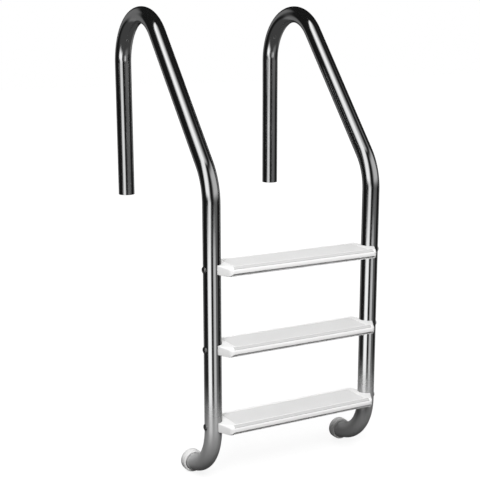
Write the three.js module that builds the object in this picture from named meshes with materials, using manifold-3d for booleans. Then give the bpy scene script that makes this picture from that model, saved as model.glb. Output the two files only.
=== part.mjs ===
// A three-tread in-ground pool ladder: two bent tube rails, moulded treads bolted between them
// and a rubber bumper on the foot of each rail.
//
// Millimetres, +Z up. X runs across the ladder and +Y from the pool towards the deck.
// The origin lies midway between the open lower ends of the two deck legs.

import * as THREE from 'three';
import { mergeVertices } from 'three/addons/utils/BufferGeometryUtils.js';
import Module from 'manifold-3d';

const wasm = await Module();
wasm.setup();

const { degToRad } = THREE.MathUtils;

// Rails: 1.90 in tube, 20 in between centres.
const TUBE_RADIUS = 24.15;
const TUBE_WALL = 1.65;
const TUBE_SIDES = 20;
const RAIL_X = 254;
const REACH = 570; // deck leg to pool leg, along Y
const DECK_LEG = 392; // straight length of the deck leg below the top bend
const SLOPE = degToRad(49.6); // handrail above the horizontal
const TOP_BEND_RADIUS = 143.4;
const KNEE_RADIUS = 159;
const FOOT_RADIUS = 140;
const FOOT_DEPTH = 712; // foot centreline below the deck-leg ends
const FOOT_STUB = 1; // straight tube inside the bumper
const BEND_STEP = degToRad(10);
const QUARTER = Math.PI / 2;
const CLEARANCE = 0.3; // between pieces that touch
const CURVE_DIVISIONS = 6;

// Treads. Y is measured from the pool legs, towards the deck.
const TREADS = ['top', 'middle', 'bottom'];
const TOP_TREAD_Z = -105;
const TREAD_PITCH = 221;
const TREAD_HEIGHT = 25.4;
const TREAD_FRONT = -68;
const TREAD_REAR = 44;
const TREAD_HALF_LENGTH = 260; // longer than the outline, for the profile that trims it
const NOSING_RADIUS = 11;
const LIP = { depth: 19, edge: 3, setback: 6.5 }; // overhangs the set-back lower front
const REAR_EDGE_RADIUS = 3;
const FRONT_CORNER = { x: 222, radius: 14, end: degToRad(-25) };
const REAR_CORNER = { x: 221, radius: 10 };
const SADDLE = { radius: TUBE_RADIUS + 0.5, from: degToRad(-94), to: degToRad(137) };

// The hollow underside, with a top skin, a row of cells each side of a rib, and end cells.
const SKIN = 4;
const RIB = 3;
const CELLS_PER_ROW = 8;
const CELLS_HALF_LENGTH = 190;
const FRONT_CELLS = { from: -58.5, to: -17.5 };
const REAR_CELLS = { from: -14.5, to: 40.5 };
const END_FRONT_CELL = { x: [193, 222], y: [-56, -18] };
const END_REAR_CELL = { x: [193, 219], y: [16, 40.5] };
const NUT_POCKET = { x: [193, 209], y: [-12.5, 12.5], roof: 3.5 };

// Tread bolts: 3/8 in, along X through the rail and the tread's end.
const BOLT_DROP = 14.5; // axis below the tread's top
const BOLT_RADIUS = 4.76;
const BOLT_END_X = 196;
const HEAD_RADIUS = 8.6;
const HEAD_HEIGHT = 3.6;
const SOCKET = { radius: 3.2, depth: 2.2 };
const HOLE_RADIUS = 5.25;
const HOLE_SIDES = 16;
const SADDLE_WASHER = { radius: 9.2, thickness: 0.9 };
const FLAT_WASHER = { radius: 10.3, thickness: 1.65 };
const NUT = { acrossFlats: 14.3, thickness: 8.3, chamfer: 0.8 };

// Bumpers: a rubber cup over the end of each foot.
const BUMPER_RADIUS = 31.75;
const BUMPER_BORE = 26.2; // room for the last of the foot bend inside the cup
const BUMPER_LENGTH = 27;
const BUMPER_FLOOR = 7.5;
const BUMPER_REAR_ROUND = 6;
const BUMPER_LIP_ROUND = 2.5;
const BUMPER_SIDES = 28;

// Colours, roughness and metalness.
const polishedSteel = () => new THREE.MeshStandardMaterial({ color: 0xc8c9cb, roughness: 0.12, metalness: 1 });
const fastenerSteel = () => new THREE.MeshStandardMaterial({ color: 0x9a9b9d, roughness: 0.3, metalness: 1 });
const whitePlastic = () => new THREE.MeshStandardMaterial({ color: 0xf1f1ef, roughness: 0.55, metalness: 0 });
const paleRubber = () => new THREE.MeshStandardMaterial({ color: 0xd3d3d1, roughness: 0.7, metalness: 0 });

// ---- Solids ----

function toSolid(geometry) {
  const bare = geometry.clone();
  bare.deleteAttribute('normal');
  bare.deleteAttribute('uv');
  const merged = mergeVertices(bare);
  return new wasm.Manifold(new wasm.Mesh({
    numProp: 3,
    vertProperties: new Float32Array(merged.getAttribute('position').array),
    triVerts: new Uint32Array(merged.index.array),
  }));
}

function toGeometry(solid) {
  const { vertProperties, triVerts } = solid.getMesh();
  const geometry = new THREE.BufferGeometry();
  geometry.setAttribute('position', new THREE.BufferAttribute(vertProperties, 3));
  geometry.setIndex(new THREE.BufferAttribute(triVerts, 1));
  geometry.computeVertexNormals();
  return geometry;
}

function subtract(geometry, cutters) {
  const cut = cutters.reduce((solid, cutter) => solid.subtract(toSolid(cutter)), toSolid(geometry));
  return toGeometry(cut);
}

function intersect(first, second) {
  return toGeometry(toSolid(first).intersect(toSolid(second)));
}

function boxBetween(low, high) {
  const box = new THREE.Box3(new THREE.Vector3(...low), new THREE.Vector3(...high));
  const size = box.getSize(new THREE.Vector3());
  const centre = box.getCenter(new THREE.Vector3());
  return new THREE.BoxGeometry(size.x, size.y, size.z).translate(centre.x, centre.y, centre.z);
}

/** A cylinder along X, from one x to another. */
function cylinderAlongX(radius, fromX, toX, sides = HOLE_SIDES) {
  return new THREE.CylinderGeometry(radius, radius, toX - fromX, sides)
    .rotateZ(-QUARTER)
    .translate((fromX + toX) / 2, 0, 0);
}

/** A closed profile of (distance from the X axis, x) points, turned about X. */
function turnedAboutX(profile, sides) {
  return new THREE.LatheGeometry(profile, sides).rotateZ(-QUARTER);
}

/** Points along a round edge in a turned profile, from one angle to another. */
function roundedEdge(radius, centreR, centreX, from, to, steps = 4) {
  return Array.from({ length: steps + 1 }, (_, i) => {
    const angle = THREE.MathUtils.lerp(from, to, i / steps);
    return new THREE.Vector2(centreR + radius * Math.cos(angle), centreX + radius * Math.sin(angle));
  });
}

function ringShape(outerRadius, innerRadius) {
  const shape = new THREE.Shape().absarc(0, 0, outerRadius, 0, 2 * Math.PI);
  shape.holes.push(new THREE.Path().absarc(0, 0, innerRadius, 0, 2 * Math.PI));
  return shape;
}

// ---- Rails ----

/** A route of straights and bends, with stations only where the tube changes direction. */
class BentRoute extends THREE.Curve {
  constructor(heading) {
    super();
    this.point = new THREE.Vector3();
    this.heading = heading;
    this.stations = [];
    this.mark();
  }

  mark() {
    const tangent = new THREE.Vector3(0, Math.cos(this.heading), Math.sin(this.heading));
    this.stations.push({ point: this.point.clone(), tangent });
  }

  advance(length) {
    this.point.y += length * Math.cos(this.heading);
    this.point.z += length * Math.sin(this.heading);
  }

  straight(length) {
    this.advance(length);
    this.mark();
    return this;
  }

  bend(radius, angle) {
    const steps = Math.round(angle / BEND_STEP);
    const turn = angle / steps;
    for (let i = 0; i < steps; i += 1) {
      this.heading += turn / 2;
      this.advance(2 * radius * Math.sin(turn / 2));
      this.heading += turn / 2;
      this.mark();
    }
    return this;
  }

  stationAt(u) {
    return this.stations[Math.round(u * (this.stations.length - 1))];
  }

  getPointAt(u, target = new THREE.Vector3()) {
    return target.copy(this.stationAt(u).point);
  }

  getTangentAt(u, target = new THREE.Vector3()) {
    return target.copy(this.stationAt(u).tangent);
  }
}

/** Up the deck leg, over the top bend, down the handrail and pool leg, and out along the foot. */
function railRoute() {
  const topTurn = QUARTER + SLOPE;
  const kneeTurn = QUARTER - SLOPE;
  const topTangent = TOP_BEND_RADIUS * Math.tan(topTurn / 2);
  const kneeTangent = KNEE_RADIUS * Math.tan(kneeTurn / 2);
  const handrail = REACH / Math.cos(SLOPE) - topTangent - kneeTangent;
  const kneeCornerZ = DECK_LEG + topTangent - REACH * Math.tan(SLOPE);
  const poolLeg = kneeCornerZ - kneeTangent + FOOT_DEPTH - FOOT_RADIUS;
  return new BentRoute(QUARTER)
    .straight(DECK_LEG)
    .bend(TOP_BEND_RADIUS, topTurn)
    .straight(handrail)
    .bend(KNEE_RADIUS, kneeTurn)
    .straight(poolLeg)
    .bend(FOOT_RADIUS, QUARTER)
    .straight(FOOT_STUB);
}

const treadZ = (index) => TOP_TREAD_Z - index * TREAD_PITCH;
const boltZ = (index) => treadZ(index) - BOLT_DROP;

function railGeometry() {
  const route = railRoute();
  const tube = new THREE.ExtrudeGeometry(ringShape(TUBE_RADIUS, TUBE_RADIUS - TUBE_WALL), {
    steps: route.stations.length - 1,
    curveSegments: TUBE_SIDES / 2,
    extrudePath: route,
  });
  const reach = TUBE_RADIUS + 1;
  const boltHoles = TREADS.map((_, index) => (
    cylinderAlongX(HOLE_RADIUS, -reach, reach).translate(0, -REACH, boltZ(index))
  ));
  return subtract(tube, boltHoles);
}

// ---- Treads ----

/** Plan outline: a round front corner, then a horn, the saddle round the tube and the rear corner. */
function treadOutline() {
  const half = new THREE.Path();
  const { x, radius, end } = FRONT_CORNER;
  half.moveTo(0, TREAD_FRONT);
  half.absarc(x, TREAD_FRONT + radius, radius, -QUARTER, end, false);
  half.absarc(RAIL_X, 0, SADDLE.radius, SADDLE.from, SADDLE.to, true);
  half.absarc(REAR_CORNER.x, TREAD_REAR - REAR_CORNER.radius, REAR_CORNER.radius, 0, QUARTER, false);
  half.lineTo(0, TREAD_REAR);
  const right = half.getPoints(CURVE_DIVISIONS);
  const left = right.slice(1, -1).reverse().map((point) => new THREE.Vector2(-point.x, point.y));
  return new THREE.Shape([...right, ...left]);
}

/** Cross-section in Y and Z: a round nosing whose lip overhangs a set-back lower front. */
function treadProfile() {
  const profile = new THREE.Shape();
  profile.moveTo(TREAD_REAR, -TREAD_HEIGHT);
  profile.absarc(TREAD_REAR - REAR_EDGE_RADIUS, -REAR_EDGE_RADIUS, REAR_EDGE_RADIUS, 0, QUARTER);
  profile.absarc(TREAD_FRONT + NOSING_RADIUS, -NOSING_RADIUS, NOSING_RADIUS, QUARTER, 2 * QUARTER);
  profile.absarc(TREAD_FRONT + LIP.edge, LIP.edge - LIP.depth, LIP.edge, 2 * QUARTER, 3 * QUARTER);
  profile.lineTo(TREAD_FRONT + LIP.setback, -LIP.depth);
  profile.lineTo(TREAD_FRONT + LIP.setback, -TREAD_HEIGHT);
  return profile;
}

function pocket([lowX, highX], [lowY, highY], roof = SKIN) {
  return boxBetween([lowX, lowY, -TREAD_HEIGHT - 1], [highX, highY, -roof]);
}

function cellPockets() {
  const pitch = (2 * CELLS_HALF_LENGTH) / CELLS_PER_ROW;
  return Array.from({ length: CELLS_PER_ROW }, (_, i) => {
    const start = i * pitch - CELLS_HALF_LENGTH;
    const across = [start + RIB / 2, start + pitch - RIB / 2];
    return [FRONT_CELLS, REAR_CELLS].map((row) => pocket(across, [row.from, row.to]));
  }).flat();
}

/** The end cells, the nut pocket and the bolt hole of one end, as cutters. */
function endCutters(side) {
  const cutters = [
    pocket(END_FRONT_CELL.x, END_FRONT_CELL.y),
    pocket(END_REAR_CELL.x, END_REAR_CELL.y),
    pocket(NUT_POCKET.x, NUT_POCKET.y, NUT_POCKET.roof),
    cylinderAlongX(HOLE_RADIUS, NUT_POCKET.x[0] + 1, RAIL_X).translate(0, 0, -BOLT_DROP),
  ];
  return side > 0 ? cutters : cutters.map((cutter) => mirroredInX(cutter));
}

/** A copy mirrored in X, with its faces turned back to point outwards. */
function mirroredInX(geometry) {
  const mirrored = geometry.clone().scale(-1, 1, 1);
  const index = mirrored.index.array;
  for (let i = 0; i < index.length; i += 3) {
    [index[i], index[i + 1]] = [index[i + 1], index[i]];
  }
  return mirrored;
}

function treadGeometry() {
  const plan = new THREE.ExtrudeGeometry(treadOutline(), { depth: TREAD_HEIGHT, bevelEnabled: false })
    .translate(0, 0, -TREAD_HEIGHT);
  const profileToYZ = new THREE.Matrix4().makeBasis(
    new THREE.Vector3(0, 1, 0),
    new THREE.Vector3(0, 0, 1),
    new THREE.Vector3(1, 0, 0),
  );
  const profile = new THREE.ExtrudeGeometry(treadProfile(), {
    depth: 2 * TREAD_HALF_LENGTH,
    curveSegments: CURVE_DIVISIONS / 2,
    bevelEnabled: false,
  })
    .applyMatrix4(profileToYZ)
    .translate(-TREAD_HALF_LENGTH, 0, 0);
  return subtract(intersect(plan, profile), [...cellPockets(), ...endCutters(1), ...endCutters(-1)]);
}

// ---- Fasteners, along X for the right-hand rail ----

const TUBE_FACE_X = RAIL_X + TUBE_RADIUS + CLEARANCE;
const HEAD_SEAT_X = TUBE_FACE_X + SADDLE_WASHER.thickness + CLEARANCE;
const FLAT_WASHER_X = NUT_POCKET.x[1] - CLEARANCE - FLAT_WASHER.thickness;
const NUT_X = FLAT_WASHER_X - CLEARANCE - NUT.thickness;

/** A low-headed bolt with a hexagon socket. */
function boltGeometry() {
  const pointChamfer = 1;
  const headEdge = 0.8;
  const crown = roundedCrown(HEAD_RADIUS, HEAD_SEAT_X + headEdge, HEAD_HEIGHT - headEdge);
  const profile = [
    new THREE.Vector2(0, BOLT_END_X),
    new THREE.Vector2(BOLT_RADIUS - pointChamfer, BOLT_END_X),
    new THREE.Vector2(BOLT_RADIUS, BOLT_END_X + pointChamfer),
    new THREE.Vector2(BOLT_RADIUS, HEAD_SEAT_X),
    new THREE.Vector2(HEAD_RADIUS, HEAD_SEAT_X),
    ...crown,
  ];
  const topX = HEAD_SEAT_X + HEAD_HEIGHT;
  const hexagon = cylinderAlongX(SOCKET.radius, topX - SOCKET.depth, topX + 1, 6);
  return subtract(turnedAboutX(profile, HOLE_SIDES), [hexagon]);
}

/** The domed top of a bolt head, from its edge to the axis, as an arc of the given rise. */
function roundedCrown(radius, edgeX, rise) {
  const domeRadius = (radius * radius + rise * rise) / (2 * rise);
  const edgeAngle = Math.acos(radius / domeRadius);
  const dome = roundedEdge(domeRadius, 0, edgeX + rise - domeRadius, edgeAngle, QUARTER);
  dome[dome.length - 1].x = 0;
  return dome;
}

/** A washer hollowed on its inner face to sit on the round tube. */
function saddleWasherGeometry() {
  const outerX = TUBE_FACE_X + SADDLE_WASHER.thickness;
  const innerX = RAIL_X + Math.sqrt(TUBE_RADIUS ** 2 - SADDLE_WASHER.radius ** 2) - 1;
  const disc = cylinderAlongX(SADDLE_WASHER.radius, innerX, outerX, TUBE_SIDES);
  const hole = cylinderAlongX(HOLE_RADIUS, innerX - 1, outerX + 1);
  const tube = new THREE.CylinderGeometry(TUBE_FACE_X - RAIL_X, TUBE_FACE_X - RAIL_X, 60, 3 * TUBE_SIDES)
    .rotateX(QUARTER)
    .translate(RAIL_X, 0, 0);
  return subtract(disc, [hole, tube]);
}

function flatWasherGeometry() {
  return new THREE.ExtrudeGeometry(ringShape(FLAT_WASHER.radius, HOLE_RADIUS), {
    depth: FLAT_WASHER.thickness,
    curveSegments: HOLE_SIDES / 2,
    bevelEnabled: false,
  })
    .rotateY(QUARTER)
    .translate(FLAT_WASHER_X, 0, 0);
}

/** A hexagon nut with its outer corners turned down at both faces. */
function nutGeometry() {
  const cornerRadius = NUT.acrossFlats / 2 / Math.cos(Math.PI / 6);
  const endX = NUT_X + NUT.thickness;
  const hexagon = cylinderAlongX(cornerRadius, NUT_X, endX, 6);
  const turned = turnedAboutX([
    new THREE.Vector2(0, NUT_X),
    new THREE.Vector2(NUT.acrossFlats / 2, NUT_X),
    new THREE.Vector2(cornerRadius + 0.1, NUT_X + NUT.chamfer),
    new THREE.Vector2(cornerRadius + 0.1, endX - NUT.chamfer),
    new THREE.Vector2(NUT.acrossFlats / 2, endX),
    new THREE.Vector2(0, endX),
  ], 2 * HOLE_SIDES);
  const bore = cylinderAlongX(BOLT_RADIUS + CLEARANCE, NUT_X - 1, endX + 1);
  return subtract(intersect(hexagon, turned), [bore]);
}

// ---- Bumpers ----

/** A cup of revolution about X, open towards -X, with its flat face at x = 0. */
function bumperGeometry() {
  const rear = BUMPER_RADIUS - BUMPER_REAR_ROUND;
  const lip = BUMPER_RADIUS - BUMPER_LIP_ROUND;
  const profile = [
    new THREE.Vector2(0, -BUMPER_FLOOR),
    new THREE.Vector2(BUMPER_BORE, -BUMPER_FLOOR),
    new THREE.Vector2(BUMPER_BORE, -BUMPER_LENGTH),
    ...roundedEdge(BUMPER_LIP_ROUND, lip, BUMPER_LIP_ROUND - BUMPER_LENGTH, -QUARTER, 0, 3),
    ...roundedEdge(BUMPER_REAR_ROUND, rear, -BUMPER_REAR_ROUND, 0, QUARTER),
    new THREE.Vector2(0, 0),
  ];
  return turnedAboutX(profile, BUMPER_SIDES);
}

// ---- Assembly ----

const ladder = new THREE.Group();
ladder.name = 'pool_ladder';

function addPiece(parent, name, geometry, material) {
  const mesh = new THREE.Mesh(geometry, material);
  mesh.name = name;
  parent.add(mesh);
  return mesh;
}

const SIDES = { left: -1, right: 1 };
const rail = railGeometry();
const tread = treadGeometry();
const bumper = bumperGeometry();
const fasteners = [
  ['bolt', boltGeometry()],
  ['saddle_washer', saddleWasherGeometry()],
  ['flat_washer', flatWasherGeometry()],
  ['nut', nutGeometry()],
];
const footEnd = railRoute().point;

for (const [sideName, side] of Object.entries(SIDES)) {
  addPiece(ladder, `${sideName}_rail`, rail, polishedSteel()).position.x = side * RAIL_X;

  const rubber = addPiece(ladder, `${sideName}_bumper`, bumper, paleRubber());
  rubber.rotation.z = QUARTER;
  rubber.position.set(side * RAIL_X, footEnd.y + CLEARANCE + BUMPER_FLOOR, footEnd.z);

  TREADS.forEach((treadName, index) => {
    const joint = new THREE.Group();
    joint.position.set(0, -REACH, boltZ(index));
    joint.rotation.z = side > 0 ? 0 : Math.PI;
    ladder.add(joint);
    for (const [piece, geometry] of fasteners) {
      addPiece(joint, `${treadName}_${sideName}_${piece}`, geometry, fastenerSteel());
    }
  });
}

TREADS.forEach((treadName, index) => {
  addPiece(ladder, `${treadName}_tread`, tread, whitePlastic()).position.set(0, -REACH, treadZ(index));
});

export default ladder;
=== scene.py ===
"""Looks for the pool ladder around its CAD frame.

Smooth bent rails, moulded treads, turned fasteners and rubber bumpers, on a plain floor in a soft studio.
Metres, +Z up, +Y towards the deck, as in the CAD model. Lengths written with MM are in millimetres.
"""

import math

import bpy
import numpy as np
from mathutils import Matrix, Vector


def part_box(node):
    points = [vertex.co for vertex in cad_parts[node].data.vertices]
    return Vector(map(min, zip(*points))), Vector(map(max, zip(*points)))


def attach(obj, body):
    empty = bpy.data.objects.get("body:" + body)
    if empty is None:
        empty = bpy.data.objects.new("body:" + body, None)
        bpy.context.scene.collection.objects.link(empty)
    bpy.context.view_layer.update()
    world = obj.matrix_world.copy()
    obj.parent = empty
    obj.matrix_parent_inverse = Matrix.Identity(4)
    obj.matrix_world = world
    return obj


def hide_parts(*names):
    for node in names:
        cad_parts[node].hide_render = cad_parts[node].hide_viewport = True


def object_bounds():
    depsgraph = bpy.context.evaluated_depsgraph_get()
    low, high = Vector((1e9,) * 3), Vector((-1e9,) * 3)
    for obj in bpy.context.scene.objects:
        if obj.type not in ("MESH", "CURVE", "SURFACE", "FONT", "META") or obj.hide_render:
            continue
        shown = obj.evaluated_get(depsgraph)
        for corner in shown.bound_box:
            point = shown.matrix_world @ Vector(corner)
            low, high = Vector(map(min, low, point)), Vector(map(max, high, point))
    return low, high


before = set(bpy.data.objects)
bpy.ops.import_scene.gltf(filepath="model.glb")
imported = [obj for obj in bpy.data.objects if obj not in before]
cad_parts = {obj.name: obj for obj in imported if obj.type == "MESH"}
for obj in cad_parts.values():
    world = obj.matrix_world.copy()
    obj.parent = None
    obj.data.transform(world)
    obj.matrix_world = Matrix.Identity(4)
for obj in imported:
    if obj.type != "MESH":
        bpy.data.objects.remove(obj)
cad_low, cad_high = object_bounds()

MM = 0.001
TAU = 2 * math.pi
SIDES = {"left": -1, "right": 1}
TREADS = ("top", "middle", "bottom")
BODY = "root"

# ---- Sizes from the frame ----

rail_low, rail_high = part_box("right_rail")
RAIL_X = (rail_low.x + rail_high.x) / 2
TUBE_RADIUS = (rail_high.x - rail_low.x) / 2
TUBE_WALL = 1.65 * MM
REACH = -rail_low.y - TUBE_RADIUS
FOOT_Z = rail_low.z + TUBE_RADIUS
TOP_BEND_RADIUS = 143.4 * MM
KNEE_RADIUS = 159 * MM
FOOT_RADIUS = 140 * MM
SLOPE = math.radians(49.6)
DECK_LEG = rail_high.z - TUBE_RADIUS - TOP_BEND_RADIUS

bumper_low, bumper_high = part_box("right_bumper")
BUMPER_RADIUS = (bumper_high.x - bumper_low.x) / 2
BUMPER_FLOOR = 7.5 * MM
CLEARANCE = 0.3 * MM

tread_low, tread_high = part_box("top_tread")
TREAD_HEIGHT = tread_high.z - tread_low.z
TREAD_FRONT = tread_low.y + REACH
TREAD_REAR = tread_high.y + REACH

bolt_low, bolt_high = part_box("top_right_bolt")
HEAD_RADIUS = (bolt_high.z - bolt_low.z) / 2
BOLT_DROP = tread_high.z - (bolt_low.z + bolt_high.z) / 2
BOLT_RADIUS = 4.76 * MM
HOLE_RADIUS = 5.25 * MM


def tread_z(name):
    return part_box(f"{name}_tread")[1].z


def bolt_z(name):
    return tread_z(name) - BOLT_DROP


# ---- Camera ----

CAMERA_AZIMUTH = math.radians(-28.89)
CAMERA_ELEVATION = math.radians(13.68)
CAMERA_ROLL = math.radians(-0.09)
CAMERA_DISTANCE = 3.2
CAMERA_AIM = Vector((-0.0214, -0.0230, -0.1217))  # from the middle of the ladder
SENSOR_MM = 36
LENS_MM = 81.06
LENS_SHIFT_X = -0.0104
LENS_SHIFT_Y = 0.0729


def make_camera():
    forward = Vector(
        (
            -math.sin(CAMERA_AZIMUTH) * math.cos(CAMERA_ELEVATION),
            math.cos(CAMERA_AZIMUTH) * math.cos(CAMERA_ELEVATION),
            -math.sin(CAMERA_ELEVATION),
        )
    )
    data = bpy.data.cameras.new("camera")
    data.sensor_width = SENSOR_MM
    data.lens = LENS_MM
    data.shift_x = LENS_SHIFT_X
    data.shift_y = LENS_SHIFT_Y
    camera = bpy.data.objects.new("camera", data)
    bpy.context.scene.collection.objects.link(camera)
    camera.rotation_mode = "QUATERNION"
    level = forward.to_track_quat("-Z", "Y")
    camera.rotation_quaternion = level @ Matrix.Rotation(CAMERA_ROLL, 3, "Z").to_quaternion()
    camera.location = (cad_low + cad_high) / 2 + CAMERA_AIM - forward * CAMERA_DISTANCE
    bpy.context.scene.camera = camera


make_camera()

# ---- Node helpers ----


class Graph:
    """A short way to write a node tree: each call adds a node and links its inputs."""

    def __init__(self, tree):
        self.tree = tree
        self.tree.nodes.clear()

    def add(self, kind, inputs=None, **settings):
        node = self.tree.nodes.new(kind)
        for key, value in settings.items():
            setattr(node, key, value)
        for key, value in (inputs or {}).items():
            self.put(node.inputs[key], value)
        return node

    def put(self, socket, value):
        if isinstance(value, bpy.types.NodeSocket):
            self.tree.links.new(value, socket)
        else:
            socket.default_value = value

    def math(self, operation, a, b=0.0):
        return self.add("ShaderNodeMath", {0: a, 1: b}, operation=operation).outputs[0]

    def remap(self, value, low, high, to_low=0.0, to_high=1.0, smooth=False):
        inputs = {"Value": value, "From Min": low, "From Max": high, "To Min": to_low, "To Max": to_high}
        kind = "SMOOTHSTEP" if smooth else "LINEAR"
        return self.add("ShaderNodeMapRange", inputs, interpolation_type=kind).outputs["Result"]

    def mix(self, factor, a, b):
        node = self.add("ShaderNodeMix", data_type="RGBA")
        self.put(node.inputs["Factor"], factor)
        self.put(node.inputs["A"], a)
        self.put(node.inputs["B"], b)
        return node.outputs["Result"]

    def scaled(self, vector, scale):
        inputs = {"Vector": vector, "Scale": scale}
        return self.add("ShaderNodeMapping", inputs, vector_type="POINT").outputs["Vector"]

    def noise(self, vector, scale, detail=2.0, roughness=0.5):
        inputs = {"Vector": vector, "Scale": scale, "Detail": detail, "Roughness": roughness}
        return self.add("ShaderNodeTexNoise", inputs).outputs["Fac"]

    def bump(self, height, strength, distance, normal=None):
        inputs = {"Height": height, "Strength": strength, "Distance": distance}
        node = self.add("ShaderNodeBump", inputs)
        if normal is not None:
            self.put(node.inputs["Normal"], normal)
        return node.outputs["Normal"]


def grey(value, warmth=0.0):
    return (value * (1 + warmth), value, value * (1 - warmth), 1)


def new_material(name):
    material = bpy.data.materials.new(name)
    material.use_nodes = True
    graph = Graph(material.node_tree)
    shader = graph.add("ShaderNodeBsdfPrincipled")
    output = graph.add("ShaderNodeOutputMaterial")
    graph.tree.links.new(shader.outputs["BSDF"], output.inputs["Surface"])
    return material, graph, shader


def object_point(graph):
    return graph.add("ShaderNodeTexCoord").outputs["Object"]


# ---- Materials ----

# The rails are clear above the first height and dulled by water scale below the second.
CLEAR_ABOVE = -0.40
DULL_BELOW = -0.62
CLEAR_ROUGHNESS = 0.085
SCALE_ROUGHNESS = 0.27
SCALE_METALLIC = 0.5


def polished_steel():
    """Mirror-polished tube: faint lines, a slow haze, fine scratches, and water scale towards the feet."""
    material, graph, shader = new_material("polished_steel")
    along = graph.add("ShaderNodeAttribute", attribute_name="along_tube").outputs["Vector"]
    haze = graph.noise(along, 9.0, 3.0)
    lines = graph.noise(graph.scaled(along, (6.0, 900.0, 900.0)), 1.0, 3.0)
    scratches = graph.noise(graph.scaled(along, (25.0, 700.0, 700.0)), 1.0, 6.0, 0.75)
    scratched = graph.remap(scratches, 0.66, 0.74)
    height = graph.add("ShaderNodeSeparateXYZ", {"Vector": object_point(graph)}).outputs["Z"]
    patchy = graph.math("ADD", height, graph.remap(haze, 0.3, 0.7, -0.03, 0.03))
    scale = graph.remap(patchy, CLEAR_ABOVE, DULL_BELOW, smooth=True)
    worn = graph.math("ADD", graph.remap(haze, 0.35, 0.7, 0.0, 0.04), graph.math("MULTIPLY", scratched, 0.05))
    worn = graph.math("ADD", worn, graph.math("MULTIPLY", scale, SCALE_ROUGHNESS))
    clean = graph.mix(haze, grey(0.72, -0.006), grey(0.80, -0.004))
    graph.put(shader.inputs["Base Color"], graph.mix(scale, clean, grey(0.66)))
    graph.put(shader.inputs["Metallic"], graph.remap(scale, 0.0, 1.0, 1.0, SCALE_METALLIC))
    graph.put(shader.inputs["Roughness"], graph.math("ADD", worn, CLEAR_ROUGHNESS))
    wavy = graph.bump(haze, 0.04, 0.004)
    graph.put(shader.inputs["Normal"], graph.bump(lines, 0.02, 0.0003, wavy))
    return material


def turned_steel():
    """Plain stainless fasteners: turning marks and a little tarnish."""
    material, graph, shader = new_material("turned_steel")
    point = object_point(graph)
    tarnish = graph.noise(point, 220.0, 4.0)
    marks = graph.noise(graph.scaled(point, (5200.0, 300.0, 300.0)), 1.0, 2.0)
    graph.put(shader.inputs["Base Color"], graph.mix(tarnish, grey(0.34), grey(0.52, 0.01)))
    shader.inputs["Metallic"].default_value = 1.0
    graph.put(shader.inputs["Roughness"], graph.remap(tarnish, 0.3, 0.7, 0.2, 0.38))
    graph.put(shader.inputs["Normal"], graph.bump(marks, 0.25, 0.0002))
    return material


def moulded_plastic(name, shade, roughness, grain_scale, grain_depth):
    """White moulded plastic: slow colour drift, fine grain and a few faint scuffs."""
    material, graph, shader = new_material(name)
    point = object_point(graph)
    drift = graph.noise(point, 14.0, 3.0)
    scuffs = graph.remap(graph.noise(graph.scaled(point, (60.0, 420.0, 200.0)), 1.0, 5.0, 0.7), 0.66, 0.78)
    grain = graph.noise(point, grain_scale, 2.0)
    clean = graph.mix(drift, grey(shade * 0.965, 0.004), grey(shade, 0.002))
    scuffed = graph.math("MULTIPLY", scuffs, 0.25)
    graph.put(shader.inputs["Base Color"], graph.mix(scuffed, clean, grey(shade * 0.8)))
    graph.put(shader.inputs["Roughness"], graph.remap(drift, 0.3, 0.7, roughness - 0.05, roughness + 0.06))
    shader.inputs["Specular IOR Level"].default_value = 0.4
    graph.put(shader.inputs["Normal"], graph.bump(grain, 0.5, grain_depth))
    return material


def pale_rubber():
    """Pale rubber: matt, slightly mottled, with a fine grain."""
    material, graph, shader = new_material("pale_rubber")
    point = object_point(graph)
    mottle = graph.noise(point, 45.0, 5.0, 0.6)
    grain = graph.noise(point, 1500.0, 2.0)
    graph.put(shader.inputs["Base Color"], graph.mix(mottle, grey(0.72, 0.006), grey(0.84, 0.004)))
    graph.put(shader.inputs["Roughness"], graph.remap(mottle, 0.3, 0.7, 0.58, 0.75))
    shader.inputs["Specular IOR Level"].default_value = 0.35
    graph.put(shader.inputs["Normal"], graph.bump(grain, 0.5, 0.00025))
    return material


STEEL = polished_steel()
FASTENER = turned_steel()
PLASTIC = moulded_plastic("moulded_plastic", 0.93, 0.42, 1800.0, 0.00012)
GRIP = moulded_plastic("grip_plastic", 0.74, 0.6, 1100.0, 0.0004)
# Painted shade: the nosing's darker plastic keeps the nosing, which faces the key lamp, as dim as the flat
# top.
NOSING_PAINTED_SHADE = moulded_plastic("nosing_painted_shade", 0.58, 0.6, 1100.0, 0.0003)
RUBBER = pale_rubber()

# ---- Mesh helpers ----

SMOOTH_BELOW = math.radians(35)


def new_object(name, points, faces, materials):
    mesh = bpy.data.meshes.new(name)
    mesh.from_pydata([tuple(p) for p in points], [], faces)
    for material in materials:
        mesh.materials.append(material)
    piece = bpy.data.objects.new(name, mesh)
    bpy.context.scene.collection.objects.link(piece)
    return piece


def finish_piece(piece, node):
    """Smooth shading with sharp corners, and the piece's place in the frame's table."""
    piece.data.shade_smooth()
    piece.data.set_sharp_from_angle(angle=SMOOTH_BELOW)
    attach(piece, BODY)
    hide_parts(node)
    return piece


def apply_boolean(piece, cutter, operation="DIFFERENCE"):
    """Cuts or keeps piece by cutter, then removes the cutter."""
    modifier = piece.modifiers.new("boolean", "BOOLEAN")
    modifier.operation = operation
    modifier.object = cutter
    modifier.solver = "MANIFOLD"
    evaluated = piece.evaluated_get(bpy.context.evaluated_depsgraph_get())
    result = bpy.data.meshes.new_from_object(evaluated)
    piece.modifiers.remove(modifier)
    old = piece.data
    piece.data = result
    bpy.data.meshes.remove(old)
    bpy.data.objects.remove(cutter)


def joined(name, pieces):
    """One object of several (points, faces) shells."""
    points, faces = [], []
    for shell_points, shell_faces in pieces:
        start = len(points)
        points += [tuple(p) for p in shell_points]
        faces += [[i + start for i in face] for face in shell_faces]
    return new_object(name, points, faces, [])


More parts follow.
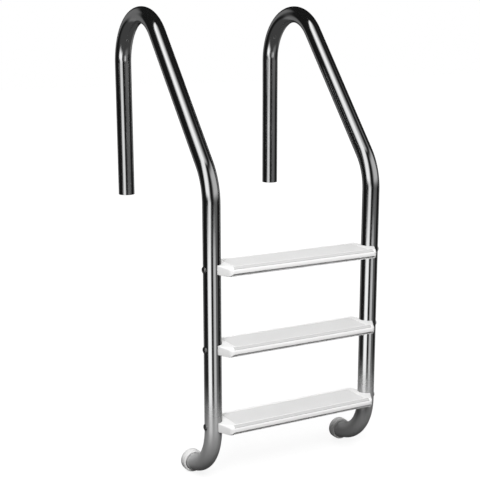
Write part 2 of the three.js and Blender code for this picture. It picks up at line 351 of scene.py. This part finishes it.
def loft(rings, closed):
    """Quads between rings of equal length.

    closed joins the last ring to the first; otherwise both ends are capped.
    """
    count = len(rings[0])
    points = [p for ring in rings for p in ring]
    faces = []
    pairs = len(rings) if closed else len(rings) - 1
    for i in range(pairs):
        here, there = i * count, ((i + 1) % len(rings)) * count
        for j in range(count):
            k = (j + 1) % count
            faces.append([here + j, here + k, there + k, there + j])
    if not closed:
        faces.append(list(range(count))[::-1])
        faces.append([(len(rings) - 1) * count + j for j in range(count)])
    return points, faces


def arc_points(centre, radius, start, end, steps):
    """Points on a circle in a plane, from one angle to another, both ends included."""
    angles = np.linspace(start, end, steps + 1)
    return [(centre[0] + radius * math.cos(a), centre[1] + radius * math.sin(a)) for a in angles]


def turned(profile, sides, closed=False):
    """A profile of (x, distance from the X axis), turned about X as a lofted shell."""
    angles = np.linspace(0, TAU, sides, endpoint=False)
    rings = [[(x, r * math.cos(a), r * math.sin(a)) for a in angles] for x, r in profile]
    return loft(rings, closed)


def cylinder_x(radius, from_x, to_x, y, z, sides=32):
    points, faces = turned([(from_x, radius), (to_x, radius)], sides)
    return [(px, py + y, pz + z) for px, py, pz in points], faces


# ---- Rails ----

RING_SIDES = 72
BEND_STEP = math.radians(2.5)
TUBE_EDGE = 0.35 * MM
HOLE_MARGIN = 8.5 * MM


class Route:
    """A bent tube's centreline in the YZ plane, as stations of point, heading and distance."""

    def __init__(self, heading):
        self.point = Vector((0.0, 0.0))
        self.heading = heading
        self.distance = 0.0
        self.stations = []
        self.mark()

    def mark(self):
        self.stations.append((self.point.copy(), self.heading, self.distance))

    def advance(self, length):
        self.point += length * Vector((math.cos(self.heading), math.sin(self.heading)))

    def straight(self, length, stops=()):
        """Goes straight, with extra stations at the given distances along the stretch."""
        done = 0.0
        for stop in [*sorted(stops), length]:
            self.advance(stop - done)
            self.distance += stop - done
            done = stop
            self.mark()

    def bend(self, radius, angle):
        steps = round(angle / BEND_STEP)
        turn = angle / steps
        for _ in range(steps):
            self.heading += turn / 2
            self.advance(2 * radius * math.sin(turn / 2))
            self.heading += turn / 2
            self.distance += radius * turn
            self.mark()


def rail_route():
    top_turn = math.pi / 2 + SLOPE
    knee_turn = math.pi / 2 - SLOPE
    top_tangent = TOP_BEND_RADIUS * math.tan(top_turn / 2)
    knee_tangent = KNEE_RADIUS * math.tan(knee_turn / 2)
    handrail = REACH / math.cos(SLOPE) - top_tangent - knee_tangent
    leg_top = DECK_LEG + top_tangent - REACH * math.tan(SLOPE) - knee_tangent
    pool_leg = leg_top - FOOT_Z - FOOT_RADIUS
    foot_end_y = bumper_high.y - BUMPER_FLOOR - CLEARANCE
    stops = [leg_top - bolt_z(name) + side * HOLE_MARGIN for name in TREADS for side in (-1, 1)]
    route = Route(math.pi / 2)
    route.straight(DECK_LEG)
    route.bend(TOP_BEND_RADIUS, top_turn)
    route.straight(handrail)
    route.bend(KNEE_RADIUS, knee_turn)
    route.straight(pool_leg, stops)
    route.bend(FOOT_RADIUS, math.pi / 2)
    route.straight(foot_end_y + REACH - FOOT_RADIUS)
    return route


def tube_rings(route):
    """Rings up the outside of the tube and back down its bore, with small rounds at both cut ends."""
    bore = TUBE_RADIUS - TUBE_WALL
    first, last = route.stations[0], route.stations[-1]
    outside = [(first, TUBE_EDGE, TUBE_RADIUS)]
    outside += [(station, 0.0, TUBE_RADIUS) for station in route.stations[1:-1]]
    outside += [(last, -TUBE_EDGE, TUBE_RADIUS), (last, 0.0, TUBE_RADIUS - TUBE_EDGE)]
    inside = [(last, 0.0, bore + TUBE_EDGE), (last, -TUBE_EDGE, bore)]
    inside += [(station, 0.0, bore) for station in route.stations[-2:0:-1]]
    inside += [(first, TUBE_EDGE, bore), (first, 0.0, bore + TUBE_EDGE)]
    inside += [(first, 0.0, TUBE_RADIUS - TUBE_EDGE)]
    return outside + inside


def make_rail(side_name):
    angles = np.linspace(0, TAU, RING_SIDES, endpoint=False)
    centre_x = SIDES[side_name] * RAIL_X
    rings, marks = [], []
    for (point, heading, distance), shift, radius in tube_rings(rail_route()):
        y = point.x + shift * math.cos(heading)
        z = point.y + shift * math.sin(heading)
        ring = []
        for a in angles:
            across = radius * math.sin(a)
            ring.append(
                (
                    centre_x + radius * math.cos(a),
                    y - across * math.sin(heading),
                    z + across * math.cos(heading),
                )
            )
            marks.append((distance, TUBE_RADIUS * math.cos(a), TUBE_RADIUS * math.sin(a)))
        rings.append(ring)
    points, faces = loft(rings, closed=True)
    piece = new_object(f"{side_name}_rail_tube", points, faces, [STEEL])
    attribute = piece.data.attributes.new("along_tube", "FLOAT_VECTOR", "POINT")
    attribute.data.foreach_set("vector", np.array(marks, np.float32).ravel())
    reach = TUBE_RADIUS * 1.2
    holes = [
        cylinder_x(HOLE_RADIUS, centre_x - reach, centre_x + reach, -REACH, bolt_z(name))
        for name in TREADS
    ]
    apply_boolean(piece, joined("bolt_holes", holes))
    return finish_piece(piece, f"{side_name}_rail")


# ---- Treads ----

FRONT_CORNER_X = 222 * MM
FRONT_CORNER_RADIUS = 14 * MM
HORN_ANGLE = math.radians(-25)
SADDLE_RADIUS = TUBE_RADIUS + 0.5 * MM
SADDLE_FROM = math.radians(-94)
SADDLE_TO = math.radians(137)
EAR_CUT = 2.5 * MM
TIP_CUT = 5 * MM
TIP_STEPS = (0.25, 0.5, 0.75, 0.84)
REAR_CORNER_X = 221 * MM
REAR_CORNER_RADIUS = 10 * MM
NOSING_RADIUS = 11 * MM
HORN_EDGE = 8 * MM
REAR_EDGE = 3 * MM
SMALL_EDGE = 0.6 * MM
LIP_DEPTH = 19 * MM
LIP_EDGE = 3 * MM
LIP_SETBACK = 6.5 * MM
HORN_DEPTH = TREAD_HEIGHT - SMALL_EDGE
FILLET_STEPS = 7
LINE_DEPTH = 1.4 * MM
# Degrees over the top edge, from the flat to the wall. The groove line's bottom is at LINE_ANGLE.
LINE_ANGLE = 60
TOP_EDGE_ANGLES = (0, 12, 25, 38, 50, 53, LINE_ANGLE, 67, 80, 90)
PANEL_X = 213 * MM
PANEL_FRONT = TREAD_FRONT + 13 * MM
PANEL_REAR = TREAD_REAR - 7 * MM
PANEL_CORNER = 8 * MM
PANEL_DEPTH = 0.9 * MM
GROOVE = 2.2 * MM
PIP_PITCH = 5 * MM
PIP_RADIUS = 1.7 * MM
PIP_HEIGHT = 0.4 * MM
PANEL_STEP = 1.0 * MM
BOLT_HOLE_FROM_X = 195 * MM


def blend(a, b, t):
    """Each value of a moved towards b by the part t."""
    return tuple(u + (v - u) * t for u, v in zip(a, b))


def softened(points, index, cut, steps=5):
    """The outline with its corner at index replaced by a short curve."""
    corner = np.array(points[index][:2])
    before = np.array(points[index - 1][:2])
    after = np.array(points[index + 1][:2])
    start = corner + (before - corner) * min(0.9, cut / np.linalg.norm(before - corner))
    end = corner + (after - corner) * min(0.9, cut / np.linalg.norm(after - corner))
    curve = []
    for t in np.linspace(0, 1, steps + 1):
        p = (1 - t) ** 2 * start + 2 * t * (1 - t) * corner + t * t * end
        curve.append((p[0], p[1], *points[index][2:]))
    return points[:index] + curve + points[index + 1 :]


# The wall at a point of the outline: its top edge's radius, the lip's depth, the lip's lower edge radius,
# and the set-back below the lip.
FRONT_WALL = (NOSING_RADIUS, LIP_DEPTH, LIP_EDGE, LIP_SETBACK)
HORN_WALL = (HORN_EDGE, HORN_DEPTH, SMALL_EDGE, SMALL_EDGE)
PLAIN_WALL = (SMALL_EDGE, HORN_DEPTH, SMALL_EDGE / 2, SMALL_EDGE)
REAR_WALL = (REAR_EDGE, HORN_DEPTH, SMALL_EDGE / 2, SMALL_EDGE)


def tread_outline():
    """Plan outline as (x, y, wall), anticlockwise from the front's middle."""
    half_pi = math.pi / 2
    nose_centre = (FRONT_CORNER_X, TREAD_FRONT + FRONT_CORNER_RADIUS)
    nose = arc_points(nose_centre, FRONT_CORNER_RADIUS, -half_pi, HORN_ANGLE, 12)
    half = [(0.0, TREAD_FRONT, *FRONT_WALL)]
    for i, (x, y) in enumerate(nose):
        half.append((x, y, *blend(FRONT_WALL, HORN_WALL, i / (len(nose) - 1))))
    saddle = arc_points((RAIL_X, 0.0), SADDLE_RADIUS, SADDLE_FROM, SADDLE_TO - TAU, 28)
    tip = (*saddle[0], *PLAIN_WALL)
    half += [blend(half[-1], tip, t) for t in TIP_STEPS]
    tip_index = len(half)
    half += [(x, y, *PLAIN_WALL) for x, y in saddle]
    ear_index = len(half) - 1
    rear_centre = (REAR_CORNER_X, TREAD_REAR - REAR_CORNER_RADIUS)
    rear = arc_points(rear_centre, REAR_CORNER_RADIUS, 0, half_pi, 10)
    for i, (x, y) in enumerate(rear):
        half.append((x, y, *blend(PLAIN_WALL, REAR_WALL, i / (len(rear) - 1))))
    half.append((0.0, TREAD_REAR, *REAR_WALL))
    half = softened(half, ear_index, EAR_CUT)
    half = softened(half, tip_index, TIP_CUT)
    left = [(-p[0], *p[1:]) for p in half[-2:0:-1]]
    return half + left


def inward_normals(xy):
    """Unit normals pointing into an anticlockwise outline."""
    along = np.roll(xy, -1, axis=0) - np.roll(xy, 1, axis=0)
    along /= np.linalg.norm(along, axis=1)[:, None]
    return np.stack([-along[:, 1], along[:, 0]], axis=1)


def tread_rings():
    """Rings from the top's flat over the top edge, down the lip, in under it and down to the lower edge."""
    outline = np.array(tread_outline())
    xy, top, depth, edge, setback = np.split(outline, [2, 3, 4, 5], axis=1)
    normals = inward_normals(xy)
    quarter = np.linspace(0, math.pi / 2, FILLET_STEPS + 1)
    line_depth = LINE_DEPTH * np.clip((top - HORN_EDGE) / (NOSING_RADIUS - HORN_EDGE), 0, 1)
    levels = []
    for degrees in TOP_EDGE_ANGLES:
        a = math.radians(degrees)
        radius = top - line_depth * (degrees == LINE_ANGLE)
        levels.append((top - radius * math.sin(a), radius * math.cos(a) - top))
    levels += [(edge * (1 - math.cos(a)), edge * (1 - math.sin(a)) - depth) for a in quarter]
    low_edge = SMALL_EDGE / 2
    bottom = np.full_like(depth, -TREAD_HEIGHT)
    levels.append((setback, -depth))
    levels.append((setback, low_edge + bottom))
    levels.append((setback + low_edge, bottom))
    return [np.hstack([xy + normals * inset, height]).tolist() for inset, height in levels]


def rounded_rectangle(low, high, radius, steps=6):
    """Corner points of a rounded rectangle, anticlockwise."""
    corners = [
        ((high[0] - radius, low[1] + radius), -0.25),
        ((high[0] - radius, high[1] - radius), 0.0),
        ((low[0] + radius, high[1] - radius), 0.25),
        ((low[0] + radius, low[1] + radius), 0.5),
    ]
    points = []
    for centre, turn in corners:
        points += arc_points(centre, radius, turn * TAU, (turn + 0.25) * TAU, steps)
    return points


def rounded_pocket(low, high, bottom, roof, radius, draft=0.4 * MM):
    """A cutter for a moulded pocket, a little wider at its mouth."""
    mouth_low = [v - draft for v in low]
    mouth_high = [v + draft for v in high]
    mouth = [(x, y, bottom) for x, y in rounded_rectangle(mouth_low, mouth_high, radius + draft)]
    floor = [(x, y, roof) for x, y in rounded_rectangle(low, high, radius)]
    return loft([mouth, floor], closed=False)


SKIN = 4 * MM
RIB = 3 * MM
CELLS_PER_ROW = 8
CELLS_HALF_LENGTH = 190 * MM
CELL_ROWS = ((TREAD_FRONT + 10.5 * MM, -17.5 * MM), (-14.5 * MM, TREAD_REAR - 4 * MM))
END_CELLS = (
    ((193.5 * MM, 220 * MM), (TREAD_FRONT + 16 * MM, -18 * MM), SKIN),
    ((193.5 * MM, 217 * MM), (16 * MM, TREAD_REAR - 4 * MM), SKIN),
    ((193.5 * MM, 209 * MM), (-12.3 * MM, 12.3 * MM), 3.6 * MM),
)
POCKET_ROUND = 2 * MM


def underside_pockets():
    pockets = []
    bottom = -TREAD_HEIGHT - 1 * MM
    pitch = 2 * CELLS_HALF_LENGTH / CELLS_PER_ROW
    for i in range(CELLS_PER_ROW):
        x = i * pitch - CELLS_HALF_LENGTH
        for y_low, y_high in CELL_ROWS:
            low = (x + RIB / 2, y_low)
            high = (x + pitch - RIB / 2, y_high)
            pockets.append(rounded_pocket(low, high, bottom, -SKIN, POCKET_ROUND))
    for side in SIDES.values():
        for (x_in, x_out), (y_low, y_high), roof in END_CELLS:
            x_low, x_high = sorted((side * x_in, side * x_out))
            pockets.append(rounded_pocket((x_low, y_low), (x_high, y_high), bottom, -roof, POCKET_ROUND))
    return pockets


def panel_recess():
    """The cutter for the shallow recess that the grip panel lies in."""
    outline = rounded_rectangle((-PANEL_X, PANEL_FRONT), (PANEL_X, PANEL_REAR), PANEL_CORNER, 8)
    floor = [(x, y, -PANEL_DEPTH) for x, y in outline]
    top = [(x, y, 1 * MM) for x, y in outline]
    return loft([floor, top], closed=False)


def pip_height(x, y):
    """Height of the staggered non-slip pips at each point."""
    row_pitch = PIP_PITCH * math.sqrt(3) / 2
    row = np.round(y / row_pitch)
    shift = (row % 2) * PIP_PITCH / 2
    dx = x - shift - PIP_PITCH * np.round((x - shift) / PIP_PITCH)
    dy = y - row * row_pitch
    fall = np.clip(1 - (dx * dx + dy * dy) / PIP_RADIUS**2, 0, 1)
    return PIP_HEIGHT * fall * np.sqrt(fall)


def grip_panel():
    """The panel between the grooves: a fine grid raised into pips, with walls down into the recess."""
    half_x, corner = PANEL_X - GROOVE, PANEL_CORNER - GROOVE
    front, rear = PANEL_FRONT + GROOVE, PANEL_REAR - GROOVE
    columns = round(2 * half_x / PANEL_STEP)
    rows = round((rear - front) / PANEL_STEP)
    y = np.linspace(front, rear, rows + 1)
    into_corner = np.clip(np.maximum(front + corner - y, y - rear + corner), 0, corner)
    reach = half_x - corner + np.sqrt(np.maximum(corner**2 - into_corner**2, 0))
    x = np.linspace(-1, 1, columns + 1)[None, :] * reach[:, None]
    y = np.repeat(y[:, None], columns + 1, axis=1)
    edge = np.minimum(np.minimum(y - front, rear - y), reach[:, None] - np.abs(x))
    z = pip_height(x, y) * np.clip((edge - 1 * MM) / MM, 0, 1)
    points = np.stack([x, y, z], axis=2).reshape(-1, 3).tolist()
    faces = []
    width = columns + 1
    for r in range(rows):
        for c in range(columns):
            i = r * width + c
            faces.append([i, i + 1, i + width + 1, i + width])
    rim = list(range(width))
    rim += [r * width + columns for r in range(1, rows + 1)]
    rim += [rows * width + c for c in range(columns - 1, -1, -1)]
    rim += [r * width for r in range(rows - 1, 0, -1)]
    start = len(points)
    points += [(points[i][0], points[i][1], -PANEL_DEPTH - 0.3 * MM) for i in rim]
    for k, i in enumerate(rim):
        n = (k + 1) % len(rim)
        faces.append([i, start + k, start + n, rim[n]])
    faces.append([start + k for k in range(len(rim))][::-1])
    return points, faces


def tread_mesh():
    """One tread about its top's centre between the tubes, shared by the three treads."""
    points, faces = loft(tread_rings(), closed=False)
    faces = [face[::-1] for face in faces]
    body = new_object("tread_body", points, faces, [PLASTIC])
    cutters = underside_pockets() + [panel_recess()]
    for side in SIDES.values():
        low_x, high_x = sorted((side * BOLT_HOLE_FROM_X, side * RAIL_X))
        cutters.append(cylinder_x(HOLE_RADIUS, low_x, high_x, 0.0, -BOLT_DROP))
    apply_boolean(body, joined("tread_cutters", cutters))
    panel_points, panel_faces = grip_panel()
    start = len(body.data.vertices)
    all_points = [tuple(v.co) for v in body.data.vertices] + [tuple(p) for p in panel_points]
    body_faces = [list(p.vertices) for p in body.data.polygons]
    all_faces = body_faces + [[i + start for i in face] for face in panel_faces]
    whole = bpy.data.meshes.new("tread")
    whole.from_pydata(all_points, [], all_faces)
    whole.materials.append(PLASTIC)
    whole.materials.append(NOSING_PAINTED_SHADE)
    whole.materials.append(GRIP)
    line_z = -NOSING_RADIUS * (1 - math.cos(math.radians(LINE_ANGLE)))
    centres = [p.center for p in body.data.polygons]
    gets_painted_shade = [c.z > line_z and c.y < PANEL_FRONT and abs(c.x) < PANEL_X for c in centres]
    # Material 0 is the moulding, 1 the strip along its front edge, darker as painted shade so the nosing that
    # faces the key lamp looks as dim as the flat top, and 2 the panel.
    material_of_face = [int(on) for on in gets_painted_shade] + [2] * len(panel_faces)
    whole.polygons.foreach_set("material_index", material_of_face)
    bpy.data.objects.remove(body)
    return whole


def make_treads():
    """The three treads. Mirrored rays miss them, so the tubes show no white patches."""
    mesh = tread_mesh()
    for name in TREADS:
        piece = bpy.data.objects.new(f"{name}_tread_moulding", mesh)
        bpy.context.scene.collection.objects.link(piece)
        piece.location = (0.0, -REACH, tread_z(name))
        piece.visible_glossy = False
        finish_piece(piece, f"{name}_tread")


# ---- Bumpers ----

BUMPER_BORE = 26 * MM
BUMPER_REAR_ROUND = 6 * MM
BUMPER_LIP_ROUND = 3 * MM
BUMPER_SIDES = 96


def bumper_profile():
    """(x, radius) points from the cup's floor, out of its mouth and round to the flat rear face."""
    length = bumper_high.y - bumper_low.y
    lip_x = -length + BUMPER_LIP_ROUND
    lip_r = BUMPER_RADIUS - BUMPER_LIP_ROUND
    rear_r = BUMPER_RADIUS - BUMPER_REAR_ROUND
    inner = 1.2 * MM
    profile = [(-BUMPER_FLOOR, 1 * MM), (-BUMPER_FLOOR, BUMPER_BORE - inner)]
    profile += [(-BUMPER_FLOOR - inner, BUMPER_BORE)]
    profile += [(-length + inner, BUMPER_BORE), (-length + 0.35 * inner, BUMPER_BORE + 0.3 * inner)]
    profile += [(-length, BUMPER_BORE + inner)]
    profile += [
        (lip_x + BUMPER_LIP_ROUND * math.sin(a), lip_r + BUMPER_LIP_ROUND * math.cos(a))
        for a in np.linspace(-math.pi / 2, 0, 7)
    ]
    seam_x = -length / 2
    seam = 0.35 * MM
    profile += [(seam_x - 2 * seam, BUMPER_RADIUS), (seam_x, BUMPER_RADIUS + seam)]
    profile += [(seam_x + 2 * seam, BUMPER_RADIUS)]
    profile += [
        (-BUMPER_REAR_ROUND + BUMPER_REAR_ROUND * math.sin(a), rear_r + BUMPER_REAR_ROUND * math.cos(a))
        for a in np.linspace(0, math.pi / 2, 10)
    ]
    profile += [(0.0, rear_r - 2 * MM), (0.0, 1 * MM)]
    return profile


def make_bumper(side_name):
    points, faces = turned(bumper_profile(), BUMPER_SIDES)
    placed = [(SIDES[side_name] * RAIL_X - y, bumper_high.y + x, FOOT_Z + z) for x, y, z in points]
    piece = new_object(f"{side_name}_bumper_cup", placed, faces, [RUBBER])
    return finish_piece(piece, f"{side_name}_bumper")


# ---- Fasteners, along X for the right-hand rail and turned half round for the left ----

HEAD_SEAT_X = bolt_high.x - 3.6 * MM
THREAD_PITCH = 25.4 * MM / 16
THREAD_LENGTH = 25 * MM
THREAD_DEPTH = 0.85 * MM
SOCKET_ACROSS_FLATS = 5.56 * MM
SOCKET_DEPTH = 2.3 * MM
NUT_ACROSS_FLATS = 14.3 * MM
NUT_CROWN = 0.9 * MM
WASHER_MIDDLE_RADIUS = 7 * MM
FASTENER_SIDES = 48


def thread_ring(x, start_x):
    """One ring across a helical thread, tapered at the bolt's tip and fading out towards its head."""
    ring = []
    end_x = start_x + THREAD_LENGTH
    fade = max(0.0, min(1.0, (end_x - x) / THREAD_PITCH))
    lead = max(0.0, min(1.0, (x - start_x) / (1.2 * THREAD_PITCH)))
    for a in np.linspace(0, TAU, FASTENER_SIDES, endpoint=False):
        phase = (x / THREAD_PITCH + a / TAU) % 1.0
        groove = THREAD_DEPTH * abs(2 * phase - 1) * fade
        radius = BOLT_RADIUS - groove - 0.9 * MM * (1 - lead)
        ring.append((x, radius * math.cos(a), radius * math.sin(a)))
    return ring


def bolt_shell():
    start_x = bolt_low.x
    steps = round(THREAD_LENGTH / (THREAD_PITCH / 8))
    rings = [thread_ring(x, start_x) for x in np.linspace(start_x, start_x + THREAD_LENGTH, steps + 1)]
    edge = 0.5 * MM
    rise = bolt_high.x - HEAD_SEAT_X - 0.8 * MM
    dome = (HEAD_RADIUS**2 + rise**2) / (2 * rise)
    edge_angle = math.acos(HEAD_RADIUS / dome)
    profile = [
        (HEAD_SEAT_X - edge, BOLT_RADIUS),
        (HEAD_SEAT_X, BOLT_RADIUS + edge),
        (HEAD_SEAT_X, HEAD_RADIUS - edge),
        (HEAD_SEAT_X + 0.4 * edge, HEAD_RADIUS),
    ]
    for a in np.linspace(edge_angle, math.pi / 2, 12)[:-1]:
        profile.append((bolt_high.x - dome + dome * math.sin(a), dome * math.cos(a)))
    angles = np.linspace(0, TAU, FASTENER_SIDES, endpoint=False)
    rings += [[(x, r * math.cos(a), r * math.sin(a)) for a in angles] for x, r in profile]
    return loft(rings, closed=False)


def hexagon_x(across_flats, from_x, to_x):
    radius = across_flats / 2 / math.cos(math.pi / 6)
    return turned([(from_x, radius), (to_x, radius)], 6)


def place_fastener(piece, side, name):
    """Moves a piece made about the X axis to its bolt's line, on the right or the left rail."""
    turn = Matrix.Identity(4) if side > 0 else Matrix.Rotation(math.pi, 4, "Z")
    piece.data.transform(Matrix.Translation((0, -REACH, bolt_z(name))) @ turn)


def make_bolt(label):
    points, faces = bolt_shell()
    piece = new_object(f"{label}_bolt_threaded", points, faces, [FASTENER])
    socket = hexagon_x(SOCKET_ACROSS_FLATS, bolt_high.x - SOCKET_DEPTH, bolt_high.x + SOCKET_DEPTH)
    apply_boolean(piece, joined("socket", [socket]))
    return piece


def washer_profile(low_x, high_x, inner, outer, edge=0.25 * MM):
    return [
        (low_x, inner + edge),
        (low_x, outer - edge),
        (low_x + edge, outer),
        (high_x - edge, outer),
        (high_x, outer - edge),
        (high_x, inner + edge),
        (high_x - edge, inner),
        (low_x + edge, inner),
    ]


def make_flat_washer(label):
    low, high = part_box("top_right_flat_washer")
    profile = washer_profile(low.x, high.x, HOLE_RADIUS, (high.z - low.z) / 2)
    points, faces = turned(profile, FASTENER_SIDES, closed=True)
    return new_object(f"{label}_flat_washer_ring", points, faces, [FASTENER])


def make_saddle_washer(label):
    """A washer whose inner face follows the round tube."""
    low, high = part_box("top_right_saddle_washer")
    outer = (high.z - low.z) / 2
    edge = 0.3 * MM
    seat = TUBE_RADIUS + CLEARANCE
    angles = np.linspace(0, TAU, FASTENER_SIDES, endpoint=False)

    def ring(radius, x=None):
        points = []
        for a in angles:
            y, z = radius * math.cos(a), radius * math.sin(a)
            points.append((RAIL_X + math.sqrt(seat**2 - y * y) if x is None else x, y, z))
        return points

    rings = [ring(HOLE_RADIUS), ring(WASHER_MIDDLE_RADIUS), ring(outer)]
    rings += [ring(outer, high.x - edge), ring(outer - edge, high.x)]
    rings += [ring(HOLE_RADIUS + edge, high.x), ring(HOLE_RADIUS, high.x - edge)]
    points, faces = loft(rings, closed=True)
    return new_object(f"{label}_saddle_washer_ring", points, faces, [FASTENER])


def make_nut(label):
    low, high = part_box("top_right_nut")
    corner = NUT_ACROSS_FLATS / 2 / math.cos(math.pi / 6)
    profile = [
        (low.x, NUT_ACROSS_FLATS / 2),
        (low.x + NUT_CROWN, corner + 0.1 * MM),
        (high.x - NUT_CROWN, corner + 0.1 * MM),
        (high.x, NUT_ACROSS_FLATS / 2),
    ]
    points, faces = hexagon_x(NUT_ACROSS_FLATS, low.x, high.x)
    piece = new_object(f"{label}_nut_hex", points, faces, [FASTENER])
    apply_boolean(piece, joined("crown", [turned(profile, FASTENER_SIDES)]), "INTERSECT")
    bore = BOLT_RADIUS + CLEARANCE
    mouth = [(low.x - 0.1 * MM, bore + 0.7 * MM), (low.x + 0.6 * MM, bore)]
    mouth += [(high.x - 0.6 * MM, bore), (high.x + 0.1 * MM, bore + 0.7 * MM)]
    apply_boolean(piece, joined("bore", [turned(mouth, FASTENER_SIDES)]))
    return piece


FASTENERS = {
    "bolt": make_bolt,
    "saddle_washer": make_saddle_washer,
    "flat_washer": make_flat_washer,
    "nut": make_nut,
}


def make_fasteners():
    for name in TREADS:
        for side_name, side in SIDES.items():
            for kind, maker in FASTENERS.items():
                label = f"{name}_{side_name}"
                piece = maker(label)
                place_fastener(piece, side, name)
                finish_piece(piece, f"{label}_{kind}")


for side_name in SIDES:
    make_rail(side_name)
    make_bumper(side_name)
make_treads()
make_fasteners()

# ---- Stage ----

FLOOR_SIZE = 30.0


def make_floor():
    """A plain pale floor under the feet. Mirrored and diffuse rays miss it, so it lights nothing."""
    half = FLOOR_SIZE / 2
    z = cad_low.z - 0.5 * MM
    points = [(-half, -half, z), (half, -half, z), (half, half, z), (-half, half, z)]
    floor = new_object("floor", points, [[0, 1, 2, 3]], [])
    material, graph, shader = new_material("pale_floor")
    away = graph.add("ShaderNodeVectorMath", {0: object_point(graph)}, operation="LENGTH").outputs["Value"]
    shader.inputs["Base Color"].default_value = grey(0.2)
    shader.inputs["Roughness"].default_value = 0.9
    shader.inputs["Specular IOR Level"].default_value = 0.0
    shader.inputs["Emission Color"].default_value = grey(1.0)
    graph.put(shader.inputs["Emission Strength"], graph.remap(away, 1.0, 5.0, 0.86, 1.0))
    floor.data.materials.append(material)
    floor.visible_glossy = False
    floor.visible_diffuse = False


def soft_light(name, azimuth, elevation, distance, size, power):
    """A large soft lamp that looks at the ladder's middle. Azimuths go from -Y towards -X."""
    data = bpy.data.lights.new(name, "AREA")
    data.shape = "DISK"
    data.size = size
    data.energy = power
    lamp = bpy.data.objects.new(name, data)
    bpy.context.scene.collection.objects.link(lamp)
    a, e = math.radians(azimuth), math.radians(elevation)
    away = Vector((-math.sin(a) * math.cos(e), -math.cos(a) * math.cos(e), math.sin(e)))
    lamp.location = (cad_low + cad_high) / 2 + away * distance
    lamp.rotation_mode = "QUATERNION"
    lamp.rotation_quaternion = (-away).to_track_quat("-Z", "Y")
    lamp.visible_glossy = False
    lamp.visible_camera = False


# Panels of light for mirrored rays, set so that the tubes show the bands of light in the photo.
# Azimuth from and to, then elevation from and to, each in degrees and followed by its softness. Last comes
# the brightness.
PANELS = (
    (42, 13, 88, 9, 0, 5, 61, 6, 1.05),
    (32, 6, 66, 9, -11, 3, -1, 5, 0.85),
    (39, 6, 82, 9, -28, 8, -11, 3, 1.15),
    (20, 66, 91, 9, 60, 6, 84, 5, 1.2),
    (-76, 12, -6, 16, 2, 8, 46, 10, 0.52),
    (-50, 12, -4, 14, -40, 8, -1, 4, 0.12),
    (-20, 6, 10, 6, -25, 4, -11, 2, 0.55),
    (-134, 6, -96, 8, -30, 8, 12, 8, 0.16),
    (151, 6, 180, 6, -30, 8, 30, 8, 0.15),
)
STUDIO_DARK = 0.010
FLOOR_GLOW = 0.05
FLOOR_EDGE = (-14.0, -30.0)


def band(graph, value, low, low_soft, high, high_soft):
    """1 between low and high, falling softly to 0 outside them."""
    enter = graph.remap(value, low - low_soft, low + low_soft, smooth=True)
    leave = graph.remap(value, high - high_soft, high + high_soft, 1.0, 0.0, smooth=True)
    return graph.math("MULTIPLY", enter, leave)


def make_world():
    """White to the camera, soft from above to matt surfaces, and dark with light panels to mirrored rays."""
    world = bpy.data.worlds.new("studio")
    bpy.context.scene.world = world
    world.use_nodes = True
    graph = Graph(world.node_tree)
    direction = graph.add("ShaderNodeTexCoord").outputs["Generated"]
    split = graph.add("ShaderNodeSeparateXYZ", {"Vector": direction})
    x, y, z = (split.outputs[axis] for axis in "XYZ")
    degrees = 180 / math.pi
    turn = graph.math("ARCTAN2", graph.math("MULTIPLY", x, -1.0), graph.math("MULTIPLY", y, -1.0))
    azimuth = graph.math("MULTIPLY", turn, degrees)
    elevation = graph.math("MULTIPLY", graph.math("ARCSINE", z), degrees)
    past_back = graph.math("LESS_THAN", azimuth, -140.0)
    around = graph.math("ADD", azimuth, graph.math("MULTIPLY", past_back, 360.0))
    level = STUDIO_DARK
    for panel in PANELS:
        across = band(graph, around, *panel[0:4])
        upward = band(graph, elevation, *panel[4:8])
        inside = graph.math("MULTIPLY", across, upward)
        level = graph.math("ADD", graph.math("MULTIPLY", inside, panel[8]), level)
    glow = graph.remap(elevation, FLOOR_EDGE[0], FLOOR_EDGE[1], smooth=True)
    lit = graph.math("ADD", level, graph.math("MULTIPLY", glow, FLOOR_GLOW))
    mirrored = graph.add("ShaderNodeBackground", {"Color": grey(1.0), "Strength": lit})
    from_above = graph.remap(elevation, -10.0, 60.0, 0.03, 0.42)
    matt = graph.add("ShaderNodeBackground", {"Color": grey(1.0), "Strength": from_above})
    plain = graph.add("ShaderNodeBackground", {"Color": grey(1.0), "Strength": 1.0})
    path = graph.add("ShaderNodeLightPath")
    is_glossy, is_camera = path.outputs["Is Glossy Ray"], path.outputs["Is Camera Ray"]
    seen = graph.add("ShaderNodeMixShader", {0: is_glossy, 1: matt.outputs[0], 2: mirrored.outputs[0]})
    whole = graph.add("ShaderNodeMixShader", {0: is_camera, 1: seen.outputs[0], 2: plain.outputs[0]})
    graph.add("ShaderNodeOutputWorld", {"Surface": whole.outputs[0]})


make_floor()
soft_light("key", 30, 38, 5.0, 2.6, 262)
soft_light("fill", -40, 25, 3.5, 2.5, 15)
soft_light("back", 200, 35, 3.0, 2.0, 25)
make_world()
bpy.context.scene.view_settings.view_transform = "Standard"
